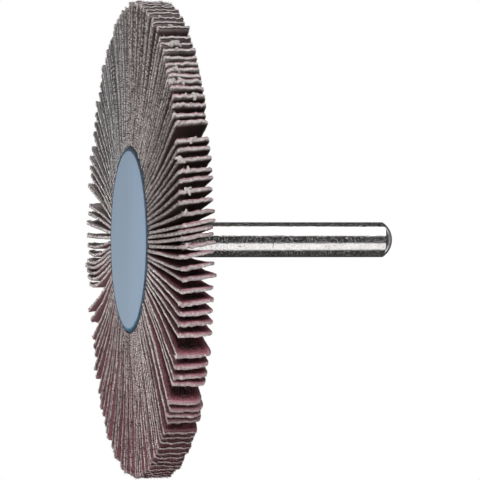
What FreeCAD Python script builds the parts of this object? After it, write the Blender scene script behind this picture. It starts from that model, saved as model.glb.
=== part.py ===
import FreeCAD, Part
import math
import os
import random

# A flap wheel on a round shank, in millimetres. It stands on its front disc: the disc's outer
# face is at z = 0, the axis is Z and the shank points up. A turn is an angle in degrees about
# the axis, from -Y towards -X, so a flap's lean is the turn from its root to its tip.

# Flaps of abrasive cloth, set on edge round the core and glued in packs
wheel_diameter = 81.0
flap_width = 5.5
flap_thickness = 0.62
flap_count = 126
flaps_per_pack = 3
root_gap = 0.014
root_seat = 0.06

# Front disc
disc_diameter = 31.2
disc_thickness = 0.6
disc_chamfer = 0.12

# Resin core, with a boss that climbs the shank
boss_height = 0.9
boss_chamfer = 0.5
boss_fillet = 0.8

# Steel shank: ground to size outside the resin, with a domed nose. Its root in the resin is
# turned down, with a round head and two grip flats above it.
shank_diameter = 6.0
shank_reach = 40.0
nose_height = 1.65
shank_root_diameter = 5.0
resin_under_head = 0.8
head_height = 1.0
grip_flat_depth = 0.6
grip_flat_length = 2.6

# The flaps have been pressed this way and that in use: the lean at some turns, which changes
# smoothly between them
settled_lean = (
    (-163, -5.8), (-148, -1.8), (-110, 1.5), (-75, 3.0), (-60, 2.4), (-45, 0.4), (-20, 3.8),
    (-8, 3.9), (7, -0.6), (22, -2.1), (38, -2.6), (57, -7.3), (80, -5.6), (130, -1.5),
    (160, 0.3), (180, -0.3),
)

# Gaps that stand open at the rim: the turn between the roots, and how many degrees the two tips
# are pushed apart. The push fades in the flaps beyond.
open_gaps = (
    (-160.0, 4.6), (-154.3, 1.8), (-145.7, 2.4), (-140.0, 2.8), (-128.6, 2.2), (-120.0, 2.2),
    (-108.6, 1.5), (-51.4, 3.4), (-40.0, 3.8), (-28.6, 3.2), (28.6, 2.5), (65.7, 2.6),
    (154.3, 1.9), (168.6, 4.3), (177.1, 0.7),
)
gap_fade = 4.0

# Small differences from flap to flap: lean in degrees, bow as a share of the free room, and
# how much of a lean is bend rather than tilt
lean_wobble = 0.22
bow_wobble = 0.12
bend_share = 0.4
least_bow = 0.02
least_tip_gap = 0.08

wheel_radius = wheel_diameter / 2
disc_radius = disc_diameter / 2
shank_radius = shank_diameter / 2
pitch = 360 / flap_count
core_radius = flap_count * (flap_thickness + root_gap) / (2 * math.pi)
root_radius = core_radius + root_seat
flap_front = disc_thickness
flap_back = flap_front + flap_width
boss_top = flap_back + boss_height
shank_bottom = flap_front + resin_under_head
shank_top = flap_back + shank_reach
turned_radius = shank_root_diameter / 2
ground_start = boss_top + boss_fillet


def line(start, end):
    return Part.LineSegment(start, end).toShape()


def arc(start, middle, end):
    return Part.Arc(start, middle, end).toShape()


def profile_point(radius, height):
    return FreeCAD.Vector(radius, 0, height)


def turned(edges):
    """A solid of revolution from a closed profile in the XZ plane."""
    return Part.Face(Part.Wire(edges)).revolve(FreeCAD.Vector(), FreeCAD.Vector(0, 0, 1), 360)


def make_shank():
    dome_radius = (shank_radius ** 2 + nose_height ** 2) / (2 * nose_height)
    half_way = shank_radius / 2
    half_way_drop = dome_radius - math.sqrt(dome_radius ** 2 - half_way ** 2)
    bottom = profile_point(0, shank_bottom)
    heel = profile_point(turned_radius, shank_bottom)
    turned_end = profile_point(turned_radius, ground_start)
    ground_edge = profile_point(shank_radius, ground_start)
    shoulder = profile_point(shank_radius, shank_top - nose_height)
    dome_middle = profile_point(half_way, shank_top - half_way_drop)
    top = profile_point(0, shank_top)
    shank = turned([
        line(bottom, heel), line(heel, turned_end), line(turned_end, ground_edge),
        line(ground_edge, shoulder), arc(shoulder, dome_middle, top), line(top, bottom)])
    for near_side in (-turned_radius, turned_radius - grip_flat_depth):
        corner = FreeCAD.Vector(-turned_radius, near_side, shank_bottom + head_height)
        shank = shank.cut(Part.makeBox(2 * turned_radius, grip_flat_depth, grip_flat_length, corner))
    return shank


def make_resin_core(shank):
    """Cast between the flaps' roots and the shank, in one piece with its boss."""
    fillet_middle = boss_fillet * (1 - math.sqrt(0.5))
    collar_radius = shank_radius + boss_fillet
    front = profile_point(0, flap_front)
    front_edge = profile_point(core_radius, flap_front)
    shoulder = profile_point(core_radius, boss_top - boss_chamfer)
    back_edge = profile_point(core_radius - boss_chamfer, boss_top)
    collar_foot = profile_point(collar_radius, boss_top)
    collar_middle = profile_point(shank_radius + fillet_middle, boss_top + fillet_middle)
    collar_top = profile_point(shank_radius, ground_start)
    axis_top = profile_point(0, ground_start)
    core = turned([
        line(front, front_edge), line(front_edge, shoulder), line(shoulder, back_edge),
        line(back_edge, collar_foot), arc(collar_foot, collar_middle, collar_top),
        line(collar_top, axis_top), line(axis_top, front)])
    return core.cut(shank)


def make_front_disc():
    outer_face = profile_point(0, 0)
    face_edge = profile_point(disc_radius - disc_chamfer, 0)
    rim_front = profile_point(disc_radius, disc_chamfer)
    rim_back = profile_point(disc_radius, disc_thickness)
    centre_back = profile_point(0, disc_thickness)
    return turned([
        line(outer_face, face_edge), line(face_edge, rim_front), line(rim_front, rim_back),
        line(rim_back, centre_back), line(centre_back, outer_face)])


def turn_between(start, end):
    """The shorter way round from one turn to another."""
    return (end - start + 180) % 360 - 180


def lean_at(turn):
    """The settled lean at a turn, with the push of each open gap."""
    lean = 0
    for (start, lean_there), (end, lean_next) in zip(settled_lean, settled_lean[1:] + settled_lean[:1]):
        share = ((turn - start) % 360) / ((end - start) % 360)
        if share < 1:
            lean = lean_there + (lean_next - lean_there) * share ** 2 * (3 - 2 * share)
    for gap_turn, opening in open_gaps:
        away = turn_between(gap_turn, turn)
        lean += math.copysign(opening / 2, away) * math.exp(-abs(away) / gap_fade)
    return lean


def flap_angles():
    """Root and tip turns, with the tips kept apart all round."""
    chance = random.Random(11)
    roots = [-180 + pitch * (number + 0.5) for number in range(flap_count)]
    tips = [root + lean_at(root) + chance.uniform(-lean_wobble, lean_wobble) for root in roots]
    least_step = math.degrees((flap_thickness + least_tip_gap) / wheel_radius)
    for sweep in range(flap_count):
        for number in range(flap_count):
            step = turn_between(tips[number - 1], tips[number])
            if step < least_step:
                tips[number - 1] -= (least_step - step) / 2
                tips[number] += (least_step - step) / 2
    return roots, tips


def place(radius, turn):
    angle = math.radians(turn)
    return FreeCAD.Vector(-radius * math.sin(angle), -radius * math.cos(angle), flap_front)


def make_flap(root, tip, bow):
    """A strip on edge that follows an arc from the core to the rim."""
    inner = place(root_radius, root)
    outer = place(wheel_radius, tip)
    along = (outer - inner).normalize()
    across = FreeCAD.Vector(along.y, -along.x, 0)
    middle = (inner + outer) / 2 + across * bow
    centre = arc(inner, middle, outer).Curve.Center
    sides = []
    for offset in (-flap_thickness / 2, flap_thickness / 2):
        sides.append([spot + (spot - centre).normalize() * offset for spot in (inner, middle, outer)])
    near, far = sides
    outline = Part.Wire([
        arc(*near), line(near[2], far[2]), arc(far[2], far[1], far[0]), line(far[0], near[0])])
    return Part.Face(outline).extrude(FreeCAD.Vector(0, 0, flap_width))


def make_flap_packs():
    """Every flap is a solid of its own; a node holds those glued side by side."""
    chance = random.Random(5)
    roots, tips = flap_angles()
    flaps = []
    for number in range(flap_count):
        before = turn_between(tips[number - 1], tips[number])
        after = turn_between(tips[number], tips[(number + 1) % flap_count])
        room = math.radians(min(before, after)) * wheel_radius - flap_thickness
        lean = math.radians(turn_between(roots[number], tips[number])) * wheel_radius
        bow = -bend_share * lean / 4 + chance.uniform(-bow_wobble, bow_wobble) * room
        bow = math.copysign(max(abs(bow), least_bow), bow)
        flaps.append(make_flap(roots[number], tips[number], bow))
    return [Part.makeCompound(flaps[first:first + flaps_per_pack])
            for first in range(0, flap_count, flaps_per_pack)]


def save(shape, name):
    shape.exportStep(os.path.join("parts", name + ".step"))


os.makedirs("parts", exist_ok=True)
shank = make_shank()
save(shank, "shank")
save(make_resin_core(shank), "resin_core")
save(make_front_disc(), "front_disc")
for number, pack in enumerate(make_flap_packs(), start=1):
    save(pack, "flap_pack_%02d" % number)
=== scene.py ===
import bpy
import bmesh
import math
import random
import numpy as np
from mathutils import Matrix, Vector, noise


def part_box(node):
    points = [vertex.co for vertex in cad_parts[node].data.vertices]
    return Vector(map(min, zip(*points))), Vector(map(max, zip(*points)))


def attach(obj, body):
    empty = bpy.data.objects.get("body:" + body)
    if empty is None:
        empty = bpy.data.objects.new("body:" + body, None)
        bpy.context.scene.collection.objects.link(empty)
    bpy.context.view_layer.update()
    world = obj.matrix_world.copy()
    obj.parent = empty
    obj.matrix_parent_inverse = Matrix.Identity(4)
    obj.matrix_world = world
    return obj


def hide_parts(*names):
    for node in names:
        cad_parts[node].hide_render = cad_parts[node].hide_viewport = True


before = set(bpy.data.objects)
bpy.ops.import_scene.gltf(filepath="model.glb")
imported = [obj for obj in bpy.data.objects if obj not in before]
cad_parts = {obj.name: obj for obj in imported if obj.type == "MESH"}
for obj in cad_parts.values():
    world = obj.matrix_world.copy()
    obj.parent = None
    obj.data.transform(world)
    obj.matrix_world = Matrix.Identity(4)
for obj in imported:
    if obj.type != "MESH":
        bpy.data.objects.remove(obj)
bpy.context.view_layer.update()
mm = 0.001
chance = random.Random(7)
print("packed wheel loaded:", len(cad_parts), "nodes")


# small helpers

def clearSelection():
    if bpy.context.mode != "OBJECT":
        bpy.ops.object.mode_set(mode="OBJECT")
    bpy.ops.object.select_all(action="DESELECT")


def pick(piece):
    clearSelection()
    piece.select_set(True)
    bpy.context.view_layer.objects.active = piece


def editFaces(piece, wanted, mode="FACE"):
    # enters edit mode with the faces, edges or vertices that the test wants selected
    pick(piece)
    bpy.ops.object.mode_set(mode="EDIT")
    bpy.ops.mesh.select_mode(type=mode)
    bpy.ops.mesh.select_all(action="DESELECT")
    work = bmesh.from_edit_mesh(piece.data)
    for part in {"FACE": work.faces, "EDGE": work.edges, "VERT": work.verts}[mode]:
        part.select_set(bool(wanted(part)))
    work.select_flush_mode()
    bmesh.update_edit_mesh(piece.data)


def leaveEdit():
    bpy.ops.object.mode_set(mode="OBJECT")


def settle(piece):
    # the finished object sits at the origin, unturned and unscaled
    pick(piece)
    bpy.ops.object.transform_apply(location=True, rotation=True, scale=True)


def newObject(name, data):
    piece = bpy.data.objects.new(name, data)
    bpy.context.collection.objects.link(piece)
    return piece


def addModifier(piece, kind, name, **settings):
    modifier = piece.modifiers.new(name, kind)
    for key, value in settings.items():
        setattr(modifier, key, value)
    pick(piece)
    bpy.ops.object.modifier_apply(modifier=name)


# materials are built from a few short node helpers

class Nodes:
    def __init__(self, name):
        self.material = bpy.data.materials.new(name)
        self.material.use_nodes = True
        self.tree = self.material.node_tree
        self.shader = self.tree.nodes["Principled BSDF"]
        self.place = self.tree.nodes.new("ShaderNodeTexCoord").outputs["Object"]

    def link(self, start, end):
        self.tree.links.new(start, end)

    def feed(self, socket, value):
        if isinstance(value, bpy.types.NodeSocket):
            self.link(value, socket)
        else:
            socket.default_value = value

    def put(self, name, value):
        self.feed(self.shader.inputs[name], value)

    def attribute(self, name, output="Vector"):
        node = self.tree.nodes.new("ShaderNodeAttribute")
        node.attribute_name = name
        return node.outputs[output]

    def split(self, vector):
        node = self.tree.nodes.new("ShaderNodeSeparateXYZ")
        self.feed(node.inputs[0], vector)
        return node.outputs

    def combine(self, x, y=0.0, z=0.0):
        node = self.tree.nodes.new("ShaderNodeCombineXYZ")
        for socket, value in zip(node.inputs, (x, y, z)):
            self.feed(socket, value)
        return node.outputs[0]

    def scaled(self, scale=(1000, 1000, 1000)):
        # the place on the piece, in millimetres unless another scale is given
        node = self.tree.nodes.new("ShaderNodeMapping")
        self.link(self.place, node.inputs["Vector"])
        node.inputs["Scale"].default_value = scale
        return node.outputs[0]

    def noise(self, vector, scale, detail=2.0, rough=0.5):
        node = self.tree.nodes.new("ShaderNodeTexNoise")
        self.feed(node.inputs["Vector"], vector)
        node.inputs["Scale"].default_value = scale
        node.inputs["Detail"].default_value = detail
        node.inputs["Roughness"].default_value = rough
        return node.outputs["Fac"]

    def times(self, first, second):
        return self.math("MULTIPLY", first, second)

    def plus(self, first, second):
        return self.math("ADD", first, second)

    def minus(self, first, second):
        return self.math("SUBTRACT", first, second)

    def math(self, kind, first, second=0.0):
        node = self.tree.nodes.new("ShaderNodeMath")
        node.operation = kind
        self.feed(node.inputs[0], first)
        self.feed(node.inputs[1], second)
        return node.outputs[0]

    def ramp(self, value, low, high, start=0.0, end=1.0):
        node = self.tree.nodes.new("ShaderNodeMapRange")
        self.feed(node.inputs["Value"], value)
        node.inputs["From Min"].default_value = low
        node.inputs["From Max"].default_value = high
        node.inputs["To Min"].default_value = start
        node.inputs["To Max"].default_value = end
        return node.outputs["Result"]

    def mix(self, factor, first, second, kind="MIX"):
        node = self.tree.nodes.new("ShaderNodeMix")
        node.data_type = "RGBA"
        node.blend_type = kind
        self.feed(node.inputs["Factor"], factor)
        self.feed(node.inputs[6], first)
        self.feed(node.inputs[7], second)
        return node.outputs[2]

    def distance(self, vector, spot):
        node = self.tree.nodes.new("ShaderNodeVectorMath")
        node.operation = "DISTANCE"
        self.feed(node.inputs[0], vector)
        node.inputs[1].default_value = spot
        return node.outputs["Value"]

    def bump(self, height, distance, strength=1.0):
        node = self.tree.nodes.new("ShaderNodeBump")
        node.inputs["Distance"].default_value = distance
        node.inputs["Strength"].default_value = strength
        self.link(height, node.inputs["Height"])
        self.link(node.outputs[0], self.shader.inputs["Normal"])


def shade(red, green, blue):
    # a colour as it is read off a screen, 0 to 255
    values = [part / 255 for part in (red, green, blue)]
    return (*[v / 12.92 if v <= 0.04045 else ((v + 0.055) / 1.055) ** 2.4 for v in values], 1)


# abrasive cloth: woven backing on one side, grit on the other, both seen at every cut edge. The
# cloth is worn pale near its edges, and deep between the flaps it is painted dark as painted shade.

cloth = {
    "backing": shade(156, 147, 145), "backingDeep": shade(60, 44, 44), "backingWornAndLit": 1.25,
    "backingPower": 1.5, "weaveDark": 0.75,
    "gritEdge": shade(164, 124, 131), "grit": shade(134, 72, 80), "gritDeep": shade(98, 46, 52),
    "gritDark": shade(14, 6, 7), "gritSpark": shade(205, 165, 172), "gritWorn": 0.95,
    "gritPower": 1.6, "gritFront": shade(146, 96, 103), "darkPatch": (2.9, 0.3), "darkPatchReach": (1.7, 1.9),
    "cutBacking": shade(240, 236, 232), "cutBackingDark": shade(34, 28, 27),
    "cutGrit": shade(222, 200, 201), "cutGritDark": shade(40, 22, 24), "cutOver": 0.2,
    "tip": shade(223, 217, 214), "tipWorn": shade(156, 138, 138), "tipGrit": shade(172, 130, 136),
    "tipGritWorn": shade(128, 92, 98), "tipShare": 0.72, "gapShadeAndPits": shade(44, 26, 28),
    "backingFarLight": shade(170, 163, 160), "backingFarLightShare": 0.85,
    "gritFarLight": shade(96, 74, 76), "gritFarLightShare": 0.7, "coolLightTint": (0.91, 1.0, 1.03, 1),
    "darkLevel": (0.56, 0.55, 0.55, 1), "paleLevel": (1.25, 1.23, 1.23, 1),
    "tipDustAndLightLevel": (1.28, 1.26, 1.26, 1), "dustLevel": 0.22, "dustEvens": 0.5,
    # each flap's own tone: the least, how far chance adds to it, and where round the wheel the
    # cloth is painted paler or darker as painted light and shade: turn, reach and size
    "toneLeast": 0.22, "toneSpread": 0.56,
    "toneAndShadeByTurn": ((165, 50, 0.55), (-75, 28, 0.22), (26, 22, -0.85), (-26, 20, 0.6), (92, 36, -0.6),
              (-125, 32, -0.32)),
    # where pale dust clings to the cut edges and tips, and where the far faces are painted paler and
    # cooler as
    # painted light: turn, reach and steepness. The tips are pressed together from the turn in shut
    # on, over its reach.
    "dusty": (78, 82, 4), "farLight": (165, 62, 4), "shut": (42, 14),
    # sizes in millimetres, and how the specks and pits of a cut edge are mixed
    "threadWidth": 0.42, "threadSlant": 0.5, "threadWobble": 0.3, "threadDots": (0.02, 0.035),
    "pitStep": 0.82, "pitShare": 0.5, "pitSpread": 7.31, "pitPatches": (0.38, 0.52, 0.35, 1.0),
    "pitFade": (24.0, 10.0, 0.4, 1.0), "grainSize": 0.24, "fineSize": 0.11, "barSize": 0.26,
    "patchScale": 0.9, "uneven": 0.25, "sideWear": 3.0, "flapShift": 300.0, "barStretch": 0.25,
    "streakStretch": 0.16, "speckleShares": (0.45, 0.35, 0.2), "speckleRange": (0.44, 0.56),
    "roughness": 0.9, "specular": 0.2, "reliefDepth": 0.2,
}


def makeClothMaterial():
    n = Nodes("abrasiveCloth")
    toTip, through, across = n.split(n.attribute("clothPlace"))
    names = ("clothToneAndShade", "clothDust", "clothFarLight", "clothShut")
    tone, dust, farLight, atRim = (n.attribute(name, "Fac") for name in names)
    point = n.scaled()
    grain = n.noise(point, 1 / cloth["grainSize"], 2.0, 0.6)
    fine = n.noise(point, 1 / cloth["fineSize"], 1.0)
    coarse = n.noise(point, cloth["patchScale"], 2.0)

    # how far in from the nearest edge, unevenly
    fromSide = n.minus(flapHalf, n.math("ABSOLUTE", across))
    uneven = n.ramp(grain, 0.3, 0.7, -cloth["uneven"], cloth["uneven"])
    inward = n.plus(n.math("MINIMUM", toTip, n.times(fromSide, cloth["sideWear"])), uneven)

    # the threads that the cut runs across: a faint row of dots, and a row of dark pits on as many
    # of the dusty flaps as pitShare says, which fade towards the core
    turns = 2 * math.pi / cloth["threadWidth"]
    wobble = cloth["threadWobble"]
    slant = n.plus(toTip, n.times(through, cloth["threadSlant"]))
    slant = n.plus(slant, n.ramp(coarse, 0.0, 1.0, -wobble, wobble))
    dots = n.math("SINE", n.times(slant, turns))
    dots = n.times(dots, n.ramp(dust, 0.0, 1.0, *cloth["threadDots"]))
    picked = n.math("FRACT", n.times(tone, cloth["pitSpread"]))
    picked = n.times(n.ramp(picked, cloth["pitShare"] + 0.05, cloth["pitShare"] - 0.05), dust)
    pits = n.ramp(n.math("SINE", n.times(slant, 2 * math.pi / cloth["pitStep"])), 0.0, 0.5)
    pits = n.times(n.times(pits, picked), n.ramp(coarse, *cloth["pitPatches"]))
    pits = n.times(pits, n.ramp(toTip, *cloth["pitFade"]))

    # pale and dark specks of the cut, drawn out along it, and other ones on each flap
    alongCut = n.plus(n.plus(toTip, across), n.times(tone, cloth["flapShift"]))
    bars = n.combine(alongCut, n.times(through, cloth["barStretch"]))
    streaks = n.combine(n.times(alongCut, cloth["streakStretch"]), through)
    bars, streaks = (n.noise(run, 1 / cloth["barSize"], 2.0, 0.6) for run in (bars, streaks))
    barShare, grainShare, streakShare = cloth["speckleShares"]
    speckle = n.plus(n.times(bars, barShare), n.times(grain, grainShare))
    speckle = n.plus(speckle, n.times(streaks, streakShare))
    speckle = n.ramp(n.plus(speckle, dots), *cloth["speckleRange"])

    # woven backing: pale near its edges, where it is worn, and darker further in, which is painted
    # shade deep between the flaps
    warp = n.math("SINE", n.times(toTip, turns))
    weft = n.math("SINE", n.times(across, turns))
    weave = n.ramp(n.times(warp, weft), -1.0, 1.0, cloth["weaveDark"], 1.0)
    wornAndLit = n.math("POWER", n.ramp(inward, cloth["backingWornAndLit"], 0.0), cloth["backingPower"])
    backing = n.mix(n.times(wornAndLit, weave), cloth["backingDeep"], cloth["backing"])
    # painted light: the far backing faces are made paler
    backing = n.mix(n.times(farLight, cloth["backingFarLightShare"]), backing, cloth["backingFarLight"])

    # grit face: pale at the very edge, then maroon, darker further in as painted shade, with a dark
    # oval patch a little way in from the tip
    offTip = n.math("DIVIDE", n.minus(toTip, cloth["darkPatch"][0]), cloth["darkPatchReach"][0])
    offSide = n.math("DIVIDE", n.plus(across, cloth["darkPatch"][1]), cloth["darkPatchReach"][1])
    offDarkPatch = n.plus(n.times(offTip, offTip), n.times(offSide, offSide))
    offDarkPatch = n.plus(offDarkPatch, n.ramp(coarse, 0.3, 0.7, -0.35, 0.35))
    # painted shade: the grit is darker further in from the edges, deep between the flaps
    grit = n.mix(n.ramp(inward, 0.6, 3.0), cloth["grit"], cloth["gritDeep"])
    grit = n.mix(n.ramp(offDarkPatch, 1.3, 0.1, 0.0, 0.85), grit, cloth["gritDark"])
    grit = n.mix(n.ramp(n.plus(across, flapHalf), 0.9, 0.1, 0.0, 0.8), grit, cloth["gritFront"])
    grit = n.mix(n.ramp(fine, 0.52, 0.40, 0.0, 0.7), grit, cloth["gritDark"])
    toOpen = n.plus(n.math("MINIMUM", toTip, n.minus(flapHalf, across)), uneven)
    worn = n.math("POWER", n.ramp(toOpen, cloth["gritWorn"], -0.1), cloth["gritPower"])
    grit = n.mix(worn, grit, cloth["gritEdge"])
    grit = n.mix(n.ramp(fine, 0.57, 0.68, 0.0, 0.6), grit, cloth["gritSpark"])
    # painted light: the far grit faces are made greyer
    grit = n.mix(n.times(farLight, cloth["gritFarLightShare"]), grit, cloth["gritFarLight"])

    # cut edge: pale yarn ends, then the glue and grit. It is cleaner and paler at the tip, where
    # less of the grit shows on the flaps that are pressed together.
    ragged = n.plus(through, n.ramp(coarse, 0.3, 0.7, -0.15, 0.15))
    gritShare = n.ramp(ragged, 0.07, 0.19)
    yarnEnds = n.mix(speckle, cloth["cutBackingDark"], cloth["cutBacking"])
    glued = n.mix(speckle, cloth["cutGritDark"], cloth["cutGrit"])
    edge = n.mix(gritShare, yarnEnds, glued)
    tipYarn = n.mix(dust, cloth["tipWorn"], cloth["tip"])
    tipYarn = n.mix(n.ramp(fine, 0.52, 0.38, 0.0, 0.6), tipYarn, cloth["backingDeep"])
    tipGrit = n.mix(dust, cloth["tipGritWorn"], cloth["tipGrit"])
    tipEdge = n.mix(n.times(gritShare, n.ramp(atRim, 0.0, 1.0, 1.0, 0.25)), tipYarn, tipGrit)
    atTip = n.ramp(toTip, 0.9, 0.1, 0.0, cloth["tipShare"])
    edge = n.mix(atTip, edge, tipEdge)

    # both faces, with the colour of the cut drawn a little way over them at the sides
    frayed = n.plus(fromSide, n.ramp(fine, 0.35, 0.65, -0.08, 0.08))
    over = n.ramp(frayed, cloth["cutOver"], 0.04, 0, 0.9)
    face = n.mix(n.ramp(through, -0.1, 0.1), n.mix(over, backing, yarnEnds), n.mix(over, grit, glued))
    fromMiddle = n.math("ABSOLUTE", through)
    colour = n.mix(n.ramp(fromMiddle, 0.20, 0.29), edge, face)

    # painted shade: a dark line along each side of a cut for the shade in the gap between flaps, then
    # the pits in the same dark colour, both up to the tip. At the tip itself only the flaps that are
    # pressed together get that painted shade.
    beforeTip = n.ramp(toTip, 0.3, 1.0)
    gapShadeAndPits = n.times(n.ramp(fromSide, 0.3, 0.05), n.ramp(fromMiddle, 0.18, 0.29, 0.0, 0.85))
    gapShadeAndPits = n.times(gapShadeAndPits, n.ramp(dust, 0.0, 1.0, 1.0, 0.65))
    colour = n.mix(n.times(gapShadeAndPits, beforeTip), colour, cloth["gapShadeAndPits"])
    pits = n.times(pits, n.ramp(fromSide, 0.4, 0.1, 0.0, 0.85))
    colour = n.mix(n.times(pits, beforeTip), colour, cloth["gapShadeAndPits"])
    # painted shade in the crease between tips that are pressed together
    shut = n.times(atRim, n.ramp(toTip, 0.3, 0.1))
    shutGapShade = n.plus(fromMiddle, n.ramp(coarse, 0.3, 0.7, -0.06, 0.06))
    shutGapShade = n.ramp(shutGapShade, 0.16, 0.25, 0.0, 0.95)
    colour = n.mix(n.times(shut, shutGapShade), colour, cloth["gapShadeAndPits"])

    # paler or darker from flap to flap by chance, and round the wheel as painted light and shade,
    # less so where dust has evened them out
    evened = n.times(tone, n.ramp(dust, 0.0, 1.0, 1.0, cloth["dustEvens"]))
    evened = n.plus(evened, n.times(dust, cloth["dustLevel"]))
    level = n.mix(evened, cloth["darkLevel"], cloth["paleLevel"])
    # pale dust and painted light from above: the tips on the dusty upper side are made brighter
    level = n.mix(n.times(atTip, dust), level, cloth["tipDustAndLightLevel"])
    # painted light: a cool tint of light on the dusty far faces
    level = n.mix(n.times(farLight, dust), level, n.mix(1.0, level, cloth["coolLightTint"], "MULTIPLY"))
    n.put("Base Color", n.mix(1.0, colour, level, "MULTIPLY"))
    n.put("Roughness", cloth["roughness"])
    n.put("Specular IOR Level", cloth["specular"])
    relief = n.plus(n.plus(grain, n.times(fine, 0.5)), n.times(dots, 2.0))
    n.bump(relief, cloth["reliefDepth"] * mm, 0.9)
    return n.material


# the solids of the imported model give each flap's own line, from root to tip

def readFlaps(node):
    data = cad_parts[node].data
    corners = np.empty(len(data.vertices) * 3)
    data.vertices.foreach_get("co", corners)
    corners = corners.reshape(-1, 3) / mm
    keys = [tuple(row) for row in np.round(corners, 3)]
    group = {key: key for key in keys}

    def top(key):
        while group[key] != key:
            key = group[key]
        return key

    for face in data.polygons:
        first, *rest = [keys[index] for index in face.vertices]
        for key in rest:
            group[top(key)] = top(first)
    flaps = {}
    for face in data.polygons:
        flaps.setdefault(top(keys[face.vertices[0]]), []).append([corners[i] for i in face.vertices])
    return [measureFlap(np.array(faces)) for faces in flaps.values()]


def measureFlap(faces):
    # centre of each end, how far the middle bows off the straight line, and the flap's own box
    spots = np.unique(np.round(faces.reshape(-1, 3), 3), axis=0)
    reach = np.hypot(spots[:, 0], spots[:, 1])
    ordered = spots[np.argsort(reach)]
    root, tip = ordered[:4, :2].mean(axis=0), ordered[-4:, :2].mean(axis=0)
    volumes = np.einsum("ij,ij->i", faces[:, 0], np.cross(faces[:, 1], faces[:, 2])) / 6
    centre = (faces.sum(axis=1) / 4 * volumes[:, None]).sum(axis=0) / volumes.sum()
    along = (tip - root) / np.linalg.norm(tip - root)
    across = np.array((along[1], -along[0]))
    bow = 1.5 * float(np.dot(centre[:2] - (root + tip) / 2, across))
    return {
        "root": root, "tip": tip, "bow": bow, "across": across,
        "turn": math.degrees(math.atan2(-tip[0], -tip[1])),
        "front": spots[:, 2].min(), "back": spots[:, 2].max(),
    }


packNames = sorted(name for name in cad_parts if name.startswith("flap_pack"))
packs = {name: sorted(readFlaps(name), key=lambda flap: flap["turn"]) for name in packNames}
print("flaps read:", sum(len(flaps) for flaps in packs.values()))


# one flap is modelled lying along X, its grit on -Y and its front edge at -Z, and every flap of
# the wheel is a copy of it, laid along its own line

flapShape = {
    "thickness": 0.62, "cutsAlong": 11, "cutsAcross": 15, "cutsThrough": 1,
    "tipCuts": 2, "tipShare": 0.17, "endCuts": 3, "endShare": 0.03,
    "roundReach": 0.26, "edgeThickness": 0.66, "tipThickness": 0.85, "tipFlare": 0.22,
    "flareReach": 0.9, "discStep": (3.1, 3.24), "smoothAngle": 40,
}


def makeFlapPattern(length, width):
    clearSelection()
    bpy.ops.mesh.primitive_cube_add(size=1, location=(length / 2, 0, 0))
    flap = bpy.context.object
    flap.name = "flapPattern"
    flap.scale = (length, flapShape["thickness"], width)
    settle(flap)

    def runsAlong(axis, past=-1e9):
        def test(edge):
            first, second = (vertex.co for vertex in edge.verts)
            return abs((first - second)[axis]) > 1e-6 and min(first.x, second.x) > past
        return test

    cuts = (
        (0, flapShape["cutsAlong"], -1), (2, flapShape["cutsAcross"], -1),
        (1, flapShape["cutsThrough"], -1),
        (0, flapShape["tipCuts"], length * (1 - flapShape["tipShare"])),
        (0, flapShape["endCuts"], length * (1 - flapShape["endShare"])),
    )
    for axis, count, past in cuts:
        editFaces(flap, runsAlong(axis, past), "EDGE")
        bpy.ops.mesh.subdivide(number_cuts=count)
        leaveEdit()
    editFaces(flap, lambda face: True)
    bpy.ops.mesh.normals_make_consistent(inside=False)
    leaveEdit()
    return flap


def readPlaces(data):
    places = np.empty(len(data.vertices) * 3)
    data.vertices.foreach_get("co", places)
    return places.reshape(-1, 3)


def writePlaces(data, places):
    data.vertices.foreach_set("co", places.ravel())
    data.update()


def roundEdges(flap, length, width):
    # crowds the grid towards both long edges, then thins the cloth there and at the tip
    places = readPlaces(flap.data)
    step = length / (flapShape["cutsAlong"] + 1)
    places[:, 0] = np.interp(places[:, 0], (0, step, 2 * step, 3 * step, length),
                             (0, *flapShape["discStep"], 3 * step, length))
    across = np.sin(places[:, 2] / width * math.pi) * width / 2
    toTip = length - places[:, 0]
    thickness = 1 + flapShape["tipFlare"] * np.exp(-(toTip / flapShape["flareReach"]) ** 2)
    for gap, least in ((toTip, flapShape["tipThickness"]),
                       (width / 2 - np.abs(across), flapShape["edgeThickness"])):
        inward = 1 - np.clip(gap / flapShape["roundReach"], 0, 1)
        thickness *= least + (1 - least) * np.sqrt(1 - inward ** 2)
    writePlaces(flap.data, np.column_stack((places[:, 0], places[:, 1] * thickness, across)))


first = next(iter(packs.values()))[0]
flapLength = float(np.linalg.norm(first["tip"] - first["root"]))
flapWidth = float(first["back"] - first["front"])
flapHalf = flapWidth / 2
flapPattern = makeFlapPattern(flapLength, flapWidth)
roundEdges(flapPattern, flapLength, flapWidth)
print("flap pattern:", len(flapPattern.data.polygons), "faces")


# how each flap differs from the solid that it stands for

looseness = {
    "twist": 9.5, "twistTurn": 2.0, "twistSpread": 27.0, "twistWobble": 1.5, "twistPower": 1.3,
    # how far the tips splay to the back, then at which turn, its spread and steepness
    "splays": ((0.16, 95, 62, 4), (0.28, -50, 32, 2), (-0.18, -122, 26, 2)), "splayWobble": 0.12,
    "setBack": 0.2, "curl": 0.9, "curlTurn": 187.0, "curlSpread": 6.5, "curlWobble": 0.06,
    "lineSteps": 16,
    "ragSpan": 0.7, "ragKnots": 20, "tipRag": 0.18, "tipSway": 0.13, "edgeKnots": 40,
    "edgeShare": 0.97, "edgeRag": 0.06, "fuzz": 0.05, "fuzzReach": 0.5, "smoothRoot": 0.5,
    "forward": 0.48, "forwardRise": 0.07, "forwardReach": 7.0,
    "cornerSmall": (0.2, 0.5), "cornerTorn": (0.6, 1.2), "tornShare": 0.12,
    "cornerWorn": 1.05, "wornChance": (0.6, 1.1), "wornTurn": -15.0, "wornSpread": 52.0,
    "wornFrom": 0.3, "wornThin": 0.35, "thinReach": 2.2, "wornBack": 0.5, "backReach": 4.0,
}
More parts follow.
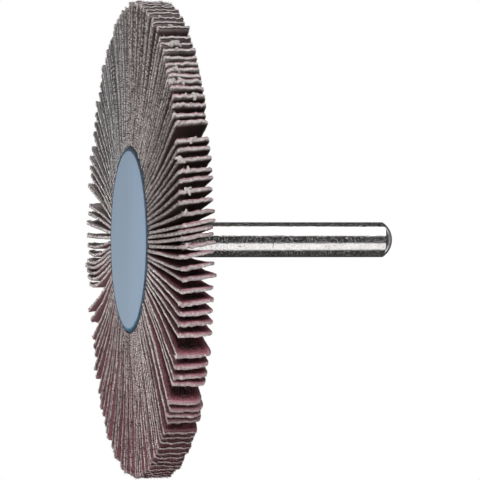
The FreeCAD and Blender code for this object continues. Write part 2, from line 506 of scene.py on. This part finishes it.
cast = np.random.default_rng(3)


def turnAway(turn, other):
    return (turn - other + 180) % 360 - 180


def smoothBump(turn, middle, reach, power=2):
    return math.exp(-abs(turnAway(turn, middle) / reach) ** power)


def fray(data, length, turn):
    # rounds and tears the two outer corners, then makes the cut lines uneven. The back corners
    # near the shank are worn round and thin.
    wornShare = smoothBump(turn, looseness["wornTurn"], looseness["wornSpread"], 4)
    places = readPlaces(data)
    along, through, across = places[:, 0] * length / flapLength, places[:, 1], places[:, 2]
    toTip = length - along
    for side in (-1, 1):
        torn = chance.random() < looseness["tornShare"]
        cut = chance.uniform(*looseness["cornerTorn" if torn else "cornerSmall"])
        if side == 1:
            cut += looseness["cornerWorn"] * wornShare * chance.uniform(*looseness["wornChance"])
        fromTip, fromEdge = 1 - toTip / cut, 1 - (flapHalf - side * across) / cut
        corner = (fromTip > 0) & (fromEdge > 0)
        span = np.hypot(fromTip, fromEdge)
        inward = np.where(corner, np.maximum(fromTip, fromEdge) / np.where(span > 0, span, 1), 1)
        toTip = np.where(corner, cut * (1 - fromTip * inward), toTip)
        across = np.where(corner, side * (flapHalf - cut * (1 - fromEdge * inward)), across)
    share = looseness["wornFrom"]
    worn = wornShare * np.clip((across + share * flapHalf) / ((1 + share) * flapHalf), 0, 1) ** 2
    thinned = looseness["wornThin"] * worn * np.exp(-(toTip / looseness["thinReach"]) ** 2)
    across = across + looseness["wornBack"] * worn * np.exp(-(toTip / looseness["backReach"]) ** 2)
    through = through * (1 - thinned)

    # cut lines: the tip's sways, the long edges' wave, and every outer vertex strays a little
    count = looseness["ragKnots"]
    knots = np.linspace(-flapHalf, flapHalf, count)
    nearTip = np.exp(-(toTip / looseness["ragSpan"]) ** 2)
    rag = np.interp(across, knots, cast.uniform(-1, 1, count)) * looseness["tipRag"]
    toTip = toTip + rag * nearTip
    sway = np.interp(across, knots, cast.uniform(-1, 1, count)) * looseness["tipSway"]
    through = through + sway * nearTip
    count = looseness["edgeKnots"]
    stretch = np.linspace(0, length, count)
    for side in (-1, 1):
        onEdge = side * places[:, 2] > flapHalf * looseness["edgeShare"]
        wave = np.interp(along, stretch, cast.uniform(-1, 1, count)) * looseness["edgeRag"]
        across = np.where(onEdge, across + wave, across)

    # the front edge stands forward just outside the disc
    rise = looseness["forwardRise"]
    outside = np.clip((along - flapShape["discStep"][0] - rise) / rise, 0, 1)
    beyond = np.clip(along - flapShape["discStep"][1], 0, None)
    outside = outside * np.exp(-(beyond / looseness["forwardReach"]) ** 2)
    inward = np.minimum(toTip, flapHalf - np.abs(across))
    across = across - looseness["forward"] * outside * np.clip(-across / flapHalf, 0, 1) ** 2
    stray = cast.uniform(-1, 1, (3, len(along))) * looseness["fuzz"]
    stray = stray * np.exp(-(inward / looseness["fuzzReach"]) ** 2)
    stray *= np.where(along < looseness["smoothRoot"], 0, 1)
    writePlaces(data, (np.array((length - toTip, through, across)) + stray).T)


def flapPath(flap):
    # a guide line along the flap's middle, tilted more and more towards the tip. The tips splay a
    # little to the back above the shank, and both ways below it.
    root, tip, turn = flap["root"], flap["tip"], flap["turn"]
    twist = looseness["twist"] * smoothBump(turn, looseness["twistTurn"], looseness["twistSpread"])
    twist += chance.gauss(0, looseness["twistWobble"])
    splay = sum(size * smoothBump(turn, *reach) for size, *reach in looseness["splays"])
    splay += chance.gauss(0, looseness["splayWobble"])
    setBack = looseness["setBack"] * chance.random()
    curl = looseness["curl"] * smoothBump(turn, looseness["curlTurn"], looseness["curlSpread"], 4)
    curl += chance.gauss(0, looseness["curlWobble"])
    middle = (flap["front"] + flap["back"]) / 2
    line = bpy.data.curves.new("flapLine", "CURVE")
    line.dimensions = "3D"
    line.twist_mode = "Z_UP"
    spline = line.splines.new("POLY")
    spline.points.add(looseness["lineSteps"])
    for number, point in enumerate(spline.points):
        share = number / looseness["lineSteps"]
        # both curves peak at about 1, the bow halfway and the curl at three quarters
        side = flap["bow"] * 4 * share * (1 - share) + curl * 9.5 * share ** 3 * (1 - share)
        spot = root + (tip - root) * share + flap["across"] * side
        point.co = (*spot, middle + setBack + splay * share ** 2, 1)
        point.tilt = math.radians(twist) * share ** looseness["twistPower"]
    return newObject("flapLine", line)


def setLevel(data, name, level):
    layer = data.attributes.new(name, "FLOAT", "POINT")
    layer.data.foreach_set("value", np.full(len(data.vertices), level))


def layFlap(flap):
    piece = newObject("flap", flapPattern.data.copy())
    length = float(np.linalg.norm(flap["tip"] - flap["root"]))
    fray(piece.data, length, flap["turn"])
    guide = flapPath(flap)
    addModifier(piece, "CURVE", "follow", object=guide, deform_axis="POS_X")
    bpy.data.objects.remove(guide)
    turn = flap["turn"]
    tone = cloth["toneLeast"] + cloth["toneSpread"] * chance.random()
    # painted light and shade: the flap is made paler or darker by where round the wheel it stands
    tone += sum(size * smoothBump(turn, middle, reach) for middle, reach, size in cloth["toneAndShadeByTurn"])
    shutTurn, shutReach = cloth["shut"]
    levels = {
        "clothToneAndShade": tone, "clothDust": smoothBump(turn, *cloth["dusty"]),
        # painted light on the far faces
        "clothFarLight": smoothBump(turn, *cloth["farLight"]),
        "clothShut": min(1.0, max(0.0, (abs(turn) - shutTurn) / shutReach)),
    }
    for name, level in levels.items():
        setLevel(piece.data, name, level)
    return piece


# loose yarn ends along the tips and the front corners, and lumps of torn and matted yarn that
# hang over from one flap to the next

yarn = {
    "perFlap": 80, "thickness": 0.028, "shortest": 0.10, "longest": 0.40, "frontShare": 0.40,
    "frontLength": 0.6, "fromEdge": 0.12, "frontReach": 9.0, "spread": 0.9, "wander": 0.6,
    "tone": 0.6, "dust": 0.5, "lumpTone": 0.48, "lumpWithin": 1.6, "lumpRise": 0.08,
    "strandLength": 0.72, "strandThickness": 0.33, "strandChance": (0.6, 1.15),
    "strandTurn": 0.15, "strandBend": 0.3, "lumpGrid": 0.07,
    # how far a lump's surface wanders, and at which noise scale
    "lumpRag": ((0.28, 2.4), (0.1, 9)),
}
# where lumps of yarn hang: turn, share of the way up the tip from the front edge, size, number
# of strands and the slant of the first, in degrees up from the way to the back
lumps = (
    (53.4, 0.47, 1.45, 6, 0), (44.1, 0.32, 1.25, 2, -60), (41.6, 0.36, 1.1, 3, -20),
    (40.6, 0.10, 1.1, 3, 30), (35.8, 0.76, 1.3, 3, 10), (36.3, 0.45, 0.7, 3, 90),
    (24.9, 0.50, 1.1, 2, 55), (20.4, 0.08, 1.2, 2, -50), (16.6, 0.33, 0.9, 2, -40),
    (11.6, 0.25, 1.1, 4, 45), (8.0, 0.20, 0.7, 3, 90), (-0.5, 0.20, 0.5, 4, 0),
    (-13.4, 0.03, 0.6, 3, 0), (-27.5, 0.05, 0.6, 3, 40), (-34.0, 0.30, 0.6, 3, 0),
    (-37.9, 0.03, 0.9, 3, -60), (-50.0, 0.10, 0.6, 3, 0), (66.7, 0.30, 0.6, 3, 0),
    (60.5, 0.50, 0.6, 3, 30), (50.5, 0.45, 0.7, 3, 60), (33.5, 0.60, 0.6, 3, 0),
    (29.5, 0.15, 0.5, 3, 0),
)


def threadCurve(name, threads, thickness, sides=0, taper=0.7):
    line = bpy.data.curves.new(name, "CURVE")
    line.dimensions = "3D"
    line.bevel_depth = thickness
    line.bevel_resolution = sides
    line.use_fill_caps = sides > 0
    line.resolution_u = 1
    for spots in threads:
        spline = line.splines.new("POLY")
        spline.points.add(len(spots) - 1)
        for number, (point, spot) in enumerate(zip(spline.points, spots)):
            point.co = (*spot, 1)
            point.radius = 1 - taper * number / (len(spots) - 1)
    pick(newObject(name, line))
    bpy.ops.object.convert(target="MESH")
    return bpy.context.object


def looseThread(start, outward, length, steps=2):
    # short steps away from the cloth, each in a slightly other direction
    spots = [Vector(start)]
    heading = outward.normalized()
    for step in range(steps):
        heading += Vector([chance.gauss(0, yarn["wander"]) for axis in range(3)])
        heading.normalize()
        spots.append(spots[-1] + heading * length / steps)
    return spots


def outwardOf(flap):
    return Vector((*(flap["tip"] - flap["root"]), 0)).normalized()


def looseThreads(flap, piece):
    # the threads start at vertices of the laid flap, next to its tip or its front corner
    places = readPlaces(piece.data)
    inner = np.empty(len(places) * 3)
    piece.data.attributes["clothPlace"].data.foreach_get("vector", inner)
    toTip, through, across = inner.reshape(-1, 3).T
    atTip = np.flatnonzero(toTip < yarn["fromEdge"])
    atFront = np.flatnonzero((across < yarn["fromEdge"] - flapHalf) & (toTip < yarn["frontReach"]))
    outward, forward = outwardOf(flap), Vector((0, 0, -1))
    threads = []
    for number in range(yarn["perFlap"]):
        onFront = chance.random() < yarn["frontShare"]
        start = places[chance.choice(atFront if onFront else atTip)]
        length = chance.uniform(yarn["shortest"], yarn["longest"])
        length *= yarn["frontLength"] if onFront else 1
        sideways = Vector((*flap["across"], 0)) * chance.gauss(0, yarn["spread"])
        threads.append(looseThread(start, (forward if onFront else outward) + sideways, length))
    return threads


def makeLump(flap, share, size, count, slant):
    # a few thick strands of matted yarn that lie over the tips, run together
    outward, across = outwardOf(flap), Vector((*flap["across"], 0))
    centre = Vector((*flap["tip"], flap["front"] + share * flapWidth)) + outward * yarn["lumpRise"]
    strands = []
    for number in range(count):
        strayed = number + chance.uniform(-yarn["strandTurn"], yarn["strandTurn"])
        angle = math.radians(slant) + 2 * math.pi * strayed / count
        heading = across * math.sin(angle) + Vector((0, 0, math.cos(angle)))
        reach = yarn["strandLength"] * size * chance.uniform(*yarn["strandChance"])
        bend = outward.cross(heading) * chance.gauss(0, yarn["strandBend"])
        strands.append([
            centre, centre + (heading * 0.35 + outward * 0.05) * reach,
            centre + (heading * 0.7 + bend * 0.5) * reach,
            centre + (heading + bend - outward * 0.2) * reach])
    lump = threadCurve("lump", strands, yarn["strandThickness"] * size ** 0.5, 2, 0.55)
    addModifier(lump, "REMESH", "matted", mode="VOXEL", voxel_size=yarn["lumpGrid"])
    addModifier(lump, "SMOOTH", "softened", factor=0.5, iterations=2)
    for vertex in lump.data.vertices:
        spot = vertex.co.copy()
        far = sum(reach * noise.noise(spot * scale) for reach, scale in yarn["lumpRag"])
        vertex.co += vertex.normal * far
    markAsYarn(lump, yarn["lumpTone"])
    return lump


def markAsYarn(piece, tone):
    # threads and lumps take the colours of the flaps' tips, half dusty
    data = piece.data
    place = data.attributes.new("clothPlace", "FLOAT_VECTOR", "POINT")
    place.data.foreach_set("vector", np.tile((0.0, -0.2, flapHalf), len(data.vertices)))
    levels = {"clothToneAndShade": tone, "clothDust": yarn["dust"], "clothFarLight": 0.0, "clothShut": 0.0}
    for name, level in levels.items():
        setLevel(data, name, level)
    data.materials.clear()
    data.materials.append(clothMaterial)


def lumpsOf(flap):
    pieces = []
    for turn, *form in lumps:
        if abs(turnAway(flap["turn"], turn)) < yarn["lumpWithin"] and turn not in hung:
            hung.add(turn)
            pieces.append(makeLump(flap, *form))
    return pieces


def joinPieces(pieces, name):
    clearSelection()
    for piece in pieces:
        piece.select_set(True)
    bpy.context.view_layer.objects.active = pieces[0]
    bpy.ops.object.join()
    pieces[0].name = name
    pieces[0].data.name = name
    return pieces[0]


place = flapPattern.data.attributes.new("clothPlace", "FLOAT_VECTOR", "POINT")
patternPlaces = readPlaces(flapPattern.data)
place.data.foreach_set("vector", (patternPlaces * (-1, -1, 1) + (flapLength, 0, 0)).ravel())
clothMaterial = makeClothMaterial()
flapPattern.data.materials.append(clothMaterial)
hung = set()
for name, flaps in packs.items():
    pieces, threads = [], []
    for flap in flaps:
        piece = layFlap(flap)
        threads.extend(looseThreads(flap, piece))
        pieces.append(piece)
        pieces.extend(lumpsOf(flap))
    fuzz = threadCurve("looseYarn", threads, yarn["thickness"])
    markAsYarn(fuzz, yarn["tone"])
    pieces.append(fuzz)
    pack = joinPieces(pieces, "cloth_" + name)
    pack.data.transform(Matrix.Scale(mm, 4))
    pick(pack)
    bpy.ops.object.shade_smooth_by_angle(angle=math.radians(flapShape["smoothAngle"]))
    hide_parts(name)
    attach(pack, "root")
bpy.data.objects.remove(flapPattern)
print("flaps laid:", len(packs), "packs")


def extrudeStep(piece, radius, nextRadius, rise):
    # pulls the face on top upwards, then draws its edge in or lets it out
    top = max(vertex.co.z for vertex in piece.data.vertices)
    editFaces(piece, lambda face: len(face.verts) > 4 and face.calc_center_median().z > top - 1e-3)
    bpy.ops.mesh.extrude_region_move(TRANSFORM_OT_translate={"value": (0, 0, rise)})
    scale = nextRadius / radius
    bpy.ops.transform.resize(value=(scale, scale, 1), center_override=(0, 0, top + rise))
    leaveEdit()


# ground steel shank: domed nose, turned root with two grip flats in the resin

steel = {
    "colour": shade(252, 250, 249), "colourDull": shade(240, 235, 233), "roughness": 0.05,
    "grain": 0.22, "grainDepth": 0.026, "pit": shade(70, 62, 60), "pitScale": 3.1, "wideScale": 0.35,
    "speck": 0.16, "speckMetal": 0.62,
    "sides": 192, "noseHeight": 1.65, "noseSteps": 16, "noseEase": 0.06,
    "rootRadius": 2.5, "groundStart": 7.8, "flatFrom": 2.4, "flatLength": 2.6, "flatDepth": 0.6,
    "smoothAngle": 28,
}
# a scratch and a few pits on the near side: place and size
steelMarks = (
    (-0.21, -2.99, 24.76, 0.12), (0.05, -2.99, 24.82, 0.1), (0.3, -2.98, 24.86, 0.12),
    (0.52, -2.95, 24.76, 0.1), (0.72, -2.91, 24.66, 0.13), (1.0, -2.83, 24.64, 0.1),
    (1.24, -2.73, 24.6, 0.1), (0.66, -2.93, 16.56, 0.14), (1.1, -2.79, 33.9, 0.1),
)


def makeSteelMaterial():
    n = Nodes("groundSteel")
    point = n.scaled()
    wide = n.noise(point, steel["wideScale"], 2.0)
    pits = n.ramp(n.noise(point, steel["pitScale"], 1.0), 0.70, 0.74)
    pits = n.times(pits, n.ramp(wide, 0.45, 0.6))
    for *spot, size in steelMarks:
        pits = n.math("MAXIMUM", pits, n.ramp(n.distance(point, spot), size, 0.6 * size))
    colour = n.mix(n.ramp(wide, 0.3, 0.7), steel["colour"], steel["colourDull"])
    n.put("Base Color", n.mix(pits, colour, steel["pit"]))
    dull = n.ramp(n.noise(point, 1 / steel["speck"], 1.0), 0.56, 0.66, 1.0, steel["speckMetal"])
    n.put("Metallic", dull)
    n.put("Roughness", steel["roughness"])
    n.bump(n.noise(point, 1 / steel["grain"], 2.0, 0.6), steel["grainDepth"] * mm, 0.9)
    return n.material


def makeShank():
    low, high = (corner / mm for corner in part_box("shank"))
    radius = (high[0] - low[0]) / 2
    low, high = low[2], high[2]
    rootTop = steel["groundStart"]
    rootRadius = steel["rootRadius"]
    clearSelection()
    bpy.ops.mesh.primitive_cylinder_add(
        vertices=steel["sides"], radius=rootRadius, depth=rootTop - low,
        location=(0, 0, (rootTop + low) / 2))
    shank = bpy.context.object
    shank.name = "groundShank"
    settle(shank)
    rise, ease = steel["noseHeight"], steel["noseEase"]
    domeRadius = (radius ** 2 + rise ** 2) / (2 * rise)
    outline = [(radius, rootTop), (radius, high - rise - ease), (radius - 0.3 * ease, high - rise)]
    for step in range(steel["noseSteps"]):
        reach = (radius - ease) * (1 - step / steel["noseSteps"])
        outline.append((reach, high - domeRadius + math.sqrt(domeRadius ** 2 - reach ** 2)))
    last, height = rootRadius, rootTop
    for nextRadius, nextHeight in outline:
        extrudeStep(shank, last, nextRadius, nextHeight - height)
        last, height = nextRadius, nextHeight
    for side in (-1, 1):
        clearSelection()
        middle = steel["flatFrom"] + steel["flatLength"] / 2
        offset = side * (rootRadius - steel["flatDepth"] / 2 + 0.5)
        bpy.ops.mesh.primitive_cube_add(size=1, location=(0, offset, middle))
        cutter = bpy.context.object
        cutter.scale = (3 * rootRadius, steel["flatDepth"] + 1, steel["flatLength"])
        settle(cutter)
        addModifier(shank, "BOOLEAN", "gripFlat", operation="DIFFERENCE", object=cutter)
        bpy.data.objects.remove(cutter)
    shank.data.transform(Matrix.Scale(mm, 4))
    pick(shank)
    bpy.ops.object.shade_smooth_by_angle(angle=math.radians(steel["smoothAngle"]))
    shank.data.materials.append(makeSteelMaterial())
    return shank


shank = makeShank()
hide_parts("shank")
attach(shank, "root")
print("shank:", len(shank.data.polygons), "faces")


# front disc: coated card with a dark rim, glued on over the roots of the flaps. The glue shows at
# two ends.

disc = {
    "radius": 15.6, "thickness": 0.6, "sides": 288, "edgeRound": 0.05, "offset": -0.03,
    "edgeWave": 0.035, "glueThickness": 0.07, "glueWidth": 0.05, "glueRag": 0.12, "glueEnds": 0.7,
    "face": shade(142, 163, 180), "faceFarLit": shade(155, 174, 193), "faceNearShaded": shade(134, 154, 174),
    "streak": shade(172, 188, 200), "rim": shade(62, 72, 88), "rimTeal": shade(58, 94, 120),
    "rimRadius": 15.12, "rimBlur": 0.12, "wall": shade(78, 94, 104), "wallDark": shade(34, 42, 52),
    "glue": shade(66, 64, 70), "glueTeal": shade(44, 72, 84), "glueRust": shade(124, 84, 58),
    "streakScale": (25, 520, 400), "streakShare": 0.12, "rimUneven": 0.16, "roughness": 0.5,
    "specular": 0.25, "glueRoughness": 0.6, "glueSink": 0.02, "smoothAngle": 35,
}
# small dark marks on its face: x, y and size
discMarks = ((-12.6, 2.3, 0.10), (2.6, -4.9, 0.11), (5.9, 7.4, 0.09))


def makeDiscMaterial():
    n = Nodes("coatedDisc")
    point = n.scaled()
    along, toSide = n.split(point)[:2]
    radius = n.math("SQRT", n.plus(n.times(along, along), n.times(toSide, toSide)))
    streak = n.noise(n.scaled(disc["streakScale"]), 1.0, 3.0)
    # painted light: the face is lighter on its far side and darker on its near side, evened towards
    # the middle
    colour = n.mix(n.ramp(toSide, -14, 14), disc["faceNearShaded"], disc["faceFarLit"])
    colour = n.mix(n.ramp(n.math("ABSOLUTE", toSide), 9, 0, 0.0, 0.7), colour, disc["face"])
    colour = n.mix(n.ramp(streak, 0.35, 0.65, 0.0, disc["streakShare"]), colour, disc["streak"])

    # dark rim, unevenly painted, teal at the lower end
    uneven = n.ramp(n.noise(point, 1.4, 3.0, 0.7), 0.3, 0.7, -disc["rimUneven"], disc["rimUneven"])
    outside = n.ramp(n.plus(radius, uneven), disc["rimRadius"] - disc["rimBlur"],
                     disc["rimRadius"] + disc["rimBlur"])
    rim = n.mix(n.ramp(along, 9, 15), disc["rim"], disc["rimTeal"])
    colour = n.mix(outside, colour, rim)
    upright = n.split(n.tree.nodes.new("ShaderNodeNewGeometry").outputs["Normal"])[2]
    wall = n.mix(n.ramp(n.noise(point, 3.2, 3.0, 0.7), 0.4, 0.6), disc["wallDark"], disc["wall"])
    colour = n.mix(n.ramp(upright, -0.6, -0.1), colour, wall)
    n.put("Base Color", colour)
    n.put("Roughness", disc["roughness"])
    n.put("Specular IOR Level", disc["specular"])
    return n.material


def makeGlueMaterial():
    n = Nodes("darkGlue")
    point = n.scaled()
    patches = n.noise(point, 0.9, 2.0)
    dark = n.ramp(n.noise(point, 4.0, 2.0), 0.45, 0.6, 0.0, 0.6)
    colour = n.mix(n.ramp(n.split(point)[0], -10, 10), disc["glue"], disc["glueTeal"])
    colour = n.mix(n.ramp(patches, 0.58, 0.66), colour, disc["glueRust"])
    n.put("Base Color", n.mix(dark, colour, disc["wallDark"]))
    n.put("Roughness", disc["glueRoughness"])
    return n.material


def addWave(piece, depth, ends=0.0, inner=0.0):
    # moves each outer vertex in or out, unevenly round the rim, and further at the two ends
    for vertex in piece.data.vertices:
        radius = math.hypot(vertex.co.x, vertex.co.y)
        if radius <= inner:
            continue
        heading = Vector((vertex.co.x, vertex.co.y, 0)) / radius
        wave = noise.noise(heading * 9) + 0.7 * noise.noise(heading * 40)
        reach = wave * depth + ends * abs(heading.x) ** 14 * (1 + wave)
        vertex.co += heading * reach


def makeRound(name, radius, bottom, thickness):
    clearSelection()
    bpy.ops.mesh.primitive_cylinder_add(
        vertices=disc["sides"], radius=radius, depth=thickness,
        location=(0, 0, bottom + thickness / 2))
    piece = bpy.context.object
    piece.name = name
    settle(piece)
    return piece


def makeDisc():
    face = makeRound("coatedDisc", disc["radius"], 0, disc["thickness"])
    addWave(face, disc["edgeWave"], inner=1)
    addModifier(face, "BEVEL", "eased", width=disc["edgeRound"], segments=2, limit_method="ANGLE")
    face.data.materials.append(makeDiscMaterial())
    bottom = disc["thickness"] - disc["glueThickness"] - disc["glueSink"]
    glue = makeRound("glueLine", disc["radius"] + disc["glueWidth"], bottom, disc["glueThickness"])
    addWave(glue, disc["glueRag"], disc["glueEnds"], inner=1)
    glueMaterial = makeGlueMaterial()
    glue.data.materials.append(glueMaterial)
    marks = []
    for x, y, size in discMarks:
        clearSelection()
        bpy.ops.mesh.primitive_ico_sphere_add(subdivisions=1, radius=size, location=(x, y, 0.01))
        mark = bpy.context.object
        mark.scale = (1, 1, 0.25)
        settle(mark)
        mark.data.materials.append(glueMaterial)
        marks.append(mark)
    whole = joinPieces([face, glue] + marks, "coatedDisc")
    whole.data.transform(Matrix.Translation((disc["offset"], 0, 0)))
    whole.data.transform(Matrix.Scale(mm, 4))
    pick(whole)
    bpy.ops.object.shade_smooth_by_angle(angle=math.radians(disc["smoothAngle"]))
    return whole


frontDisc = makeDisc()
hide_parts("front_disc")
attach(frontDisc, "root")
print("front disc:", len(frontDisc.data.polygons), "faces")


# resin core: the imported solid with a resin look

resin = {"dark": shade(58, 40, 32), "light": shade(84, 60, 46), "roughness": 0.35,
         "swirlScale": 0.8, "swirlDepth": 0.15}


def makeResinMaterial():
    n = Nodes("castResin")
    swirl = n.noise(n.scaled(), resin["swirlScale"], 3.0)
    n.put("Base Color", n.mix(n.ramp(swirl, 0.3, 0.7), resin["dark"], resin["light"]))
    n.put("Roughness", resin["roughness"])
    n.bump(swirl, resin["swirlDepth"] * mm, 0.5)
    return n.material


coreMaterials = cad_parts["resin_core"].data.materials
coreMaterials.clear()
coreMaterials.append(makeResinMaterial())
print("resin core finished")


# the studio: a floor that is seen only from above, dark flags that only the steel mirrors, soft
# lamps, and a white room

studio = {
    "floorSize": 8.0, "floorDrop": 0.00005, "floorColour": (0.86, 0.86, 0.86, 1), "floorGlow": 0.4,
    "roomWhite": 1.0, "roomMirrored": 1.8, "roomLight": 0.12,
    # each flag: from turn, to turn, from height, to height
    "flagRadius": 0.5, "flagGlow": 0.028, "greyGlow": 0.92,
    "backFlag": (97.5, 287, -0.7, 0.55), "frontFlag": (-25, 30, -0.7, 0.55),
    "ringFlag": (0, 360, 0.55, 0.9), "greyFlag": (287, 334, -0.7, 0.55),
    "topRadius": 0.52, "topHeight": 0.9, "glintSize": (0.8, 0.16), "glintPlace": (-0.02, 0.19, 0.45),
    "glintGlow": 0.26, "glintEnds": 1.4,
}


def makeFloor():
    clearSelection()
    bpy.ops.mesh.primitive_plane_add(size=studio["floorSize"], location=(0, 0, -studio["floorDrop"]))
    floor = bpy.context.object
    floor.name = "studioFloor"
    settle(floor)
    n = Nodes("studioFloor")
    n.put("Base Color", studio["floorColour"])
    n.put("Roughness", 0.9)
    n.put("Specular IOR Level", 0.0)
    n.put("Emission Color", (1, 1, 1, 1))
    n.put("Emission Strength", studio["floorGlow"])
    side = n.tree.nodes.new("ShaderNodeNewGeometry")
    clear = n.tree.nodes.new("ShaderNodeBsdfTransparent")
    blend = n.tree.nodes.new("ShaderNodeMixShader")
    n.link(side.outputs["Backfacing"], blend.inputs[0])
    n.link(n.shader.outputs[0], blend.inputs[1])
    n.link(clear.outputs[0], blend.inputs[2])
    n.link(blend.outputs[0], n.tree.nodes["Material Output"].inputs[0])
    floor.data.materials.append(n.material)
    hideFrom(floor, "shadow", "diffuse", "glossy", "transmission")


def hideFrom(piece, *rays):
    for ray in rays:
        setattr(piece, "visible_" + ray, False)


def hideButMirrored(piece):
    hideFrom(piece, "camera", "diffuse", "shadow", "transmission")


def makeFlagMaterial(name, glow):
    n = Nodes(name)
    n.put("Base Color", (0.0, 0.0, 0.0, 1))
    n.put("Specular IOR Level", 0.0)
    n.put("Emission Color", (1, 1, 1, 1))
    n.put("Emission Strength", glow)
    return n.material


def makeFlag(name, material):
    fromTurn, toTurn, bottom, top = studio[name]
    clearSelection()
    bpy.ops.mesh.primitive_cylinder_add(
        vertices=360, radius=studio["flagRadius"], depth=top - bottom, end_fill_type="NOTHING",
        location=(0, 0, (bottom + top) / 2))
    flag = bpy.context.object
    flag.name = name
    settle(flag)

    def outside(face):
        spot = face.calc_center_median()
        turn = math.degrees(math.atan2(-spot.x, -spot.y))
        return (turn - fromTurn) % 360 >= toTurn - fromTurn

    editFaces(flag, outside)
    bpy.ops.mesh.delete(type="FACE")
    leaveEdit()
    flag.data.materials.append(material)
    hideButMirrored(flag)


def makeTopFlag(material):
    clearSelection()
    bpy.ops.mesh.primitive_circle_add(
        vertices=96, radius=studio["topRadius"], fill_type="NGON",
        location=(0, 0, studio["topHeight"]))
    flag = bpy.context.object
    flag.name = "topFlag"
    settle(flag)
    flag.data.materials.append(material)
    hideButMirrored(flag)


def makeGlint():
    # a faint panel behind the nose, brighter at both ends
    clearSelection()
    bpy.ops.mesh.primitive_plane_add(size=1, location=studio["glintPlace"])
    panel = bpy.context.object
    panel.name = "glintPanel"
    panel.scale = (*studio["glintSize"], 1)
    settle(panel)
    n = Nodes("glintPanel")
    side = n.math("ABSOLUTE", n.split(n.place)[0])
    n.put("Emission Strength", n.ramp(side, 0.1, 0.45, studio["glintGlow"], studio["glintEnds"]))
    n.put("Emission Color", (1, 1, 1, 1))
    n.put("Base Color", (0, 0, 0, 1))
    panel.data.materials.append(n.material)
    hideButMirrored(panel)


def makeRoom():
    # white to the camera, brighter still in the steel, and much weaker as a light
    world = bpy.data.worlds.new("studioRoom")
    bpy.context.scene.world = world
    world.use_nodes = True
    tree = world.node_tree
    rays = tree.nodes.new("ShaderNodeLightPath")
    strength = studio["roomLight"]
    for output, level in (("Is Glossy Ray", "roomMirrored"), ("Is Transmission Ray", "roomWhite"),
                          ("Is Camera Ray", "roomWhite")):
        choice = tree.nodes.new("ShaderNodeMix")
        tree.links.new(rays.outputs[output], choice.inputs["Factor"])
        choice.inputs["B"].default_value = studio[level]
        if isinstance(strength, float):
            choice.inputs["A"].default_value = strength
        else:
            tree.links.new(strength, choice.inputs["A"])
        strength = choice.outputs["Result"]
    background = tree.nodes["Background"]
    tree.links.new(strength, background.inputs["Strength"])
    background.inputs["Color"].default_value = (1, 1, 1, 1)


lamps = {
    # place, size, power and colour, all aimed at the wheel's middle
    "keyLamp": ((-0.50, -0.80, -0.08), 0.45, 8.6, (0.94, 0.97, 1.0)),
    "fillLamp": ((0.60, -0.60, -0.30), 0.5, 3.4, (1.0, 0.96, 0.95)),
    "frontLamp": ((0.45, -0.20, -0.72), 0.6, 6.4, (1.0, 0.97, 0.97)),
    "overheadLamp": ((0.15, 0.35, 0.95), 0.8, 7.0, (1.0, 1.0, 1.0)),
    "farLamp": ((-0.55, 0.75, 0.1), 0.5, 5.0, (1.0, 1.0, 1.0)),
}


def makeLamp(name, spot, size, power, colour):
    light = bpy.data.lights.new(name, "AREA")
    light.size = size
    light.energy = power
    light.color = colour
    lamp = newObject(name, light)
    lamp.location = spot
    lamp.rotation_euler = (-Vector(spot)).to_track_quat("-Z", "Y").to_euler()
    lamp.visible_glossy = False
    lamp.visible_camera = False


makeFloor()
flagMaterial = makeFlagMaterial("darkFlag", studio["flagGlow"])
greyMaterial = makeFlagMaterial("greyFlag", studio["greyGlow"])
for name in ("backFlag", "frontFlag", "ringFlag"):
    makeFlag(name, flagMaterial)
makeFlag("greyFlag", greyMaterial)
makeGlint()
makeTopFlag(flagMaterial)
makeRoom()
for name, facts in lamps.items():
    makeLamp(name, *facts)
print("studio set up")


# the camera looks a little from the disc's side, with the shank pointing right

camera = {
    "belowWheel": 11.26, "distance": 1.0, "pan": 1.09, "roll": -0.03, "aside": 0.000035,
    "focalPixels": 5877, "pictureSide": 480, "sensor": 36.0,
}


def makeCamera():
    below = math.radians(camera["belowWheel"])
    spot = Vector((0, -math.cos(below), -math.sin(below))) * camera["distance"]
    forward = -spot.normalized()
    right = (Vector((0, 0, 1)) - forward * forward.z).normalized()
    up = right.cross(forward)
    level = Matrix((right, up, -forward)).transposed()
    pan = Matrix.Rotation(-math.radians(camera["pan"]), 3, "Y")
    roll = Matrix.Rotation(math.radians(camera["roll"]), 3, "Z")
    lens = bpy.data.cameras.new("photoCamera")
    lens.sensor_width = camera["sensor"]
    lens.lens = camera["focalPixels"] * camera["sensor"] / camera["pictureSide"]
    holder = newObject("photoCamera", lens)
    spot.x = camera["aside"]
    holder.matrix_world = Matrix.Translation(spot) @ (level @ pan @ roll).to_4x4()
    bpy.context.scene.camera = holder


makeCamera()
bpy.context.scene.view_settings.view_transform = "Standard"
print("camera set")
